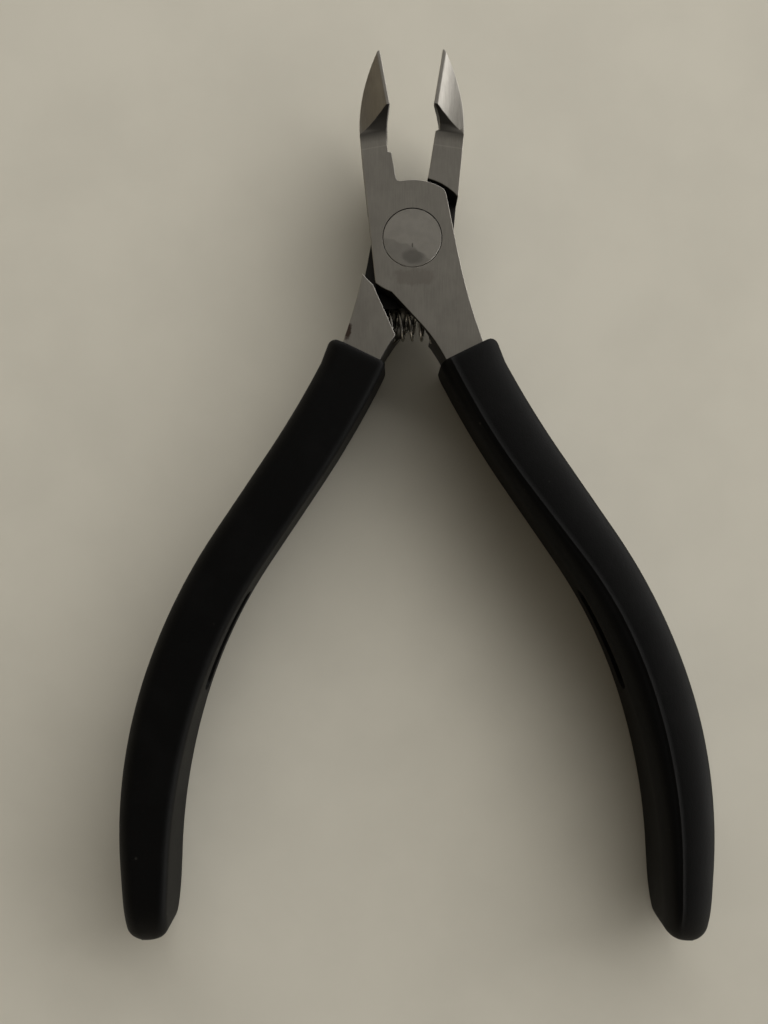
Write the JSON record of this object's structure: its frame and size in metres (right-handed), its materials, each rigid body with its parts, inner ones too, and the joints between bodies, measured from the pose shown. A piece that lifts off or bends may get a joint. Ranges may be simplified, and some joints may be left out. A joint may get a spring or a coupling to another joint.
{
  "type": "diagonal cutting pliers",
  "caption": "Small side-cutting pliers: lapped steel levers on a flush rivet, short bevelled jaws, a coil return spring between the tangs and curved black sleeves on the handles.",
  "frame": {"origin": "on the pivot axis, at the flat back face of the joint", "axes": "+Y along the centre line to the jaw tips, +Z along the pivot axis out of the front face, the handles open at rest"},
  "size_m": [0.0838, 0.1265, 0.0104],
  "materials": {
    "lever_steel": "ground satin steel",
    "rivet_steel": "turned steel, flush with the joint",
    "spring_steel": "drawn spring wire",
    "black_sleeve": "matte moulded black plastic"
  },
  "bodies": {
    "front_lever": {"front_lever": "lever_steel", "pivot_rivet": "rivet_steel", "right_grip": "black_sleeve", "return_spring": "spring_steel"},
    "rear_lever": {"rear_lever": "lever_steel", "left_grip": "black_sleeve"}
  },
  "joints": [
    {"name": "jaw_pivot", "type": "hinge", "parent": "front_lever", "child": "rear_lever", "pos_m": [0, 0, 0.0035], "axis": [0, 0, 1], "range_deg": [0, 18.8], "stiffness_Nm_per_rad": 0.1, "deforming": ["return_spring"]}
  ]
}
